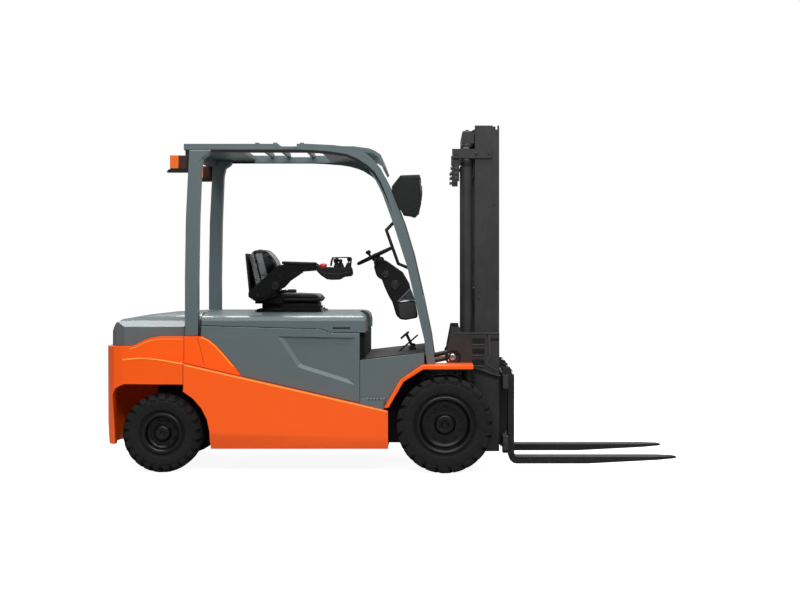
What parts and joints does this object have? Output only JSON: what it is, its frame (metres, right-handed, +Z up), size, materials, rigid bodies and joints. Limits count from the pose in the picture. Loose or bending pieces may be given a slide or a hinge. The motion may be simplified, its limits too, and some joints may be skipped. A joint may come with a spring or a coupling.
{
  "type": "electric counterbalance forklift",
  "caption": "Electric counterbalance forklift with an open operator's guard, a seat on a hinged hood, a telescoping tilting mast, sliding forks and steered rear wheels.",
  "frame": {"origin": "middle of the footprint, on the floor the wheels stand on", "axes": "+X forward along the forks, +Y to the operator's left, +Z up"},
  "size_m": [4.192, 1.454, 2.535],
  "materials": {
    "orange_paint": "gloss",
    "grey_paint": "satin",
    "mast_paint": "satin",
    "frame_paint": "matt",
    "axle_iron": "matt",
    "tyre": "matt",
    "rim_paint": "satin",
    "black_plastic": "matt",
    "seat_fabric": "matt",
    "rod_chrome": "polished",
    "battery_case": "matt"
  },
  "bodies": {
    "truck": {"main_frame": "frame_paint", "counterweight": "orange_paint", "rear_cowl": "grey_paint", "battery": "battery_case", "side_skirt_left": "orange_paint", "side_skirt_right": "orange_paint", "side_cover_left": "grey_paint", "side_cover_right": "grey_paint", "cab_floor": "grey_paint", "pedals": "black_plastic", "front_cowl": "grey_paint", "steering_column": "black_plastic", "fender_left": "orange_paint", "fender_right": "orange_paint", "guard_side_left": "grey_paint", "guard_side_right": "grey_paint", "rear_pillar_left": "grey_paint", "rear_pillar_right": "grey_paint", "roof": "grey_paint", "headlight_left": "black_plastic", "headlight_right": "black_plastic", "rear_light_left": "black_plastic", "rear_light_right": "black_plastic", "drive_axle": "axle_iron", "steer_axle": "axle_iron"},
    "hood_lid": {"hood": "grey_paint", "seat_base": "black_plastic", "seat_cushion": "seat_fabric", "seat_back": "seat_fabric", "armrest": "black_plastic"},
    "steering": {"steering_wheel": "black_plastic"},
    "mast": {"outer_mast": "mast_paint", "lift_barrel_left": "mast_paint", "lift_barrel_right": "mast_paint"},
    "lifting_mast": {"inner_mast": "mast_paint", "lift_rod_left": "rod_chrome", "lift_rod_right": "rod_chrome"},
    "fork_carriage": {"carriage": "mast_paint"},
    "left_fork": {"fork_left": "mast_paint"},
    "right_fork": {"fork_right": "mast_paint"},
    "tilt_barrels": {"tilt_barrel_left": "mast_paint", "tilt_barrel_right": "mast_paint"},
    "tilt_rods": {"tilt_rod_left": "rod_chrome", "tilt_rod_right": "rod_chrome"},
    "front_wheel_left": {"front_tyre_left": "tyre", "front_rim_left": "rim_paint"},
    "front_wheel_right": {"front_tyre_right": "tyre", "front_rim_right": "rim_paint"},
    "knuckle_left": {"steer_knuckle_left": "axle_iron"},
    "knuckle_right": {"steer_knuckle_right": "axle_iron"},
    "rear_wheel_left": {"rear_tyre_left": "tyre", "rear_rim_left": "rim_paint"},
    "rear_wheel_right": {"rear_tyre_right": "tyre", "rear_rim_right": "rim_paint"}
  },
  "joints": [
    {"name": "hood_open", "type": "hinge", "parent": "truck", "child": "hood_lid", "pos_m": [-1.36, 0, 1.126], "axis": [0, -1, 0], "range_deg": [0, 50]},
    {"name": "steering_turn", "type": "hinge", "parent": "truck", "child": "steering", "pos_m": [-0.146, 0, 1.573], "axis": [-0.4303, 0, 0.9027], "continuous": true},
    {"name": "mast_tilt", "type": "hinge", "parent": "truck", "child": "mast", "pos_m": [0.385, 0, 0.35], "axis": [0, 1, 0], "range_deg": [-10, 6]},
    {"name": "mast_lift", "type": "slide", "parent": "mast", "child": "lifting_mast", "axis": [0, 0, 1], "range_m": [0, 1.6]},
    {"name": "carriage_lift", "type": "slide", "parent": "lifting_mast", "child": "fork_carriage", "axis": [0, 0, 1], "range_m": [0, 1.6]},
    {"name": "fork_left_slide", "type": "slide", "parent": "fork_carriage", "child": "left_fork", "axis": [0, 1, 0], "range_m": [-0.3, 0.08]},
    {"name": "fork_right_slide", "type": "slide", "parent": "fork_carriage", "child": "right_fork", "axis": [0, -1, 0], "range_m": [-0.3, 0.08]},
    {"name": "tilt_barrel_swing", "type": "hinge", "parent": "truck", "child": "tilt_barrels", "pos_m": [-0.155, 0, 0.7], "axis": [0, 1, 0], "range_deg": [-2.6, 1.7]},
    {"name": "tilt_rod_slide", "type": "slide", "parent": "tilt_barrels", "child": "tilt_rods", "axis": [0.9804, 0, 0.1971], "range_m": [-0.083, 0.051]},
    {"name": "front_wheel_left_roll", "type": "hinge", "parent": "truck", "child": "front_wheel_left", "pos_m": [0.385, 0.577, 0.35], "axis": [0, 1, 0], "continuous": true},
    {"name": "front_wheel_right_roll", "type": "hinge", "parent": "truck", "child": "front_wheel_right", "pos_m": [0.385, -0.577, 0.35], "axis": [0, 1, 0], "continuous": true},
    {"name": "steer_left", "type": "hinge", "parent": "truck", "child": "knuckle_left", "pos_m": [-1.66, 0.42, 0.286], "axis": [0, 0, 1], "range_deg": [-70, 70]},
    {"name": "steer_right", "type": "hinge", "parent": "truck", "child": "knuckle_right", "pos_m": [-1.66, -0.42, 0.286], "axis": [0, 0, 1], "range_deg": [-70, 70]},
    {"name": "rear_wheel_left_roll", "type": "hinge", "parent": "knuckle_left", "child": "rear_wheel_left", "pos_m": [-1.66, 0.5765, 0.286], "axis": [0, 1, 0], "continuous": true},
    {"name": "rear_wheel_right_roll", "type": "hinge", "parent": "knuckle_right", "child": "rear_wheel_right", "pos_m": [-1.66, -0.5765, 0.286], "axis": [0, 1, 0], "continuous": true}
  ],
  "couplings": [
    {"joint": "carriage_lift", "follows": "mast_lift", "ratio": 1},
    {"joint": "tilt_barrel_swing", "follows": "mast_tilt", "ratio": 0.235},
    {"joint": "tilt_rod_slide", "follows": "mast_tilt", "m_per_rad": 0.4544},
    {"joint": "steer_right", "follows": "steer_left", "ratio": 1}
  ]
}
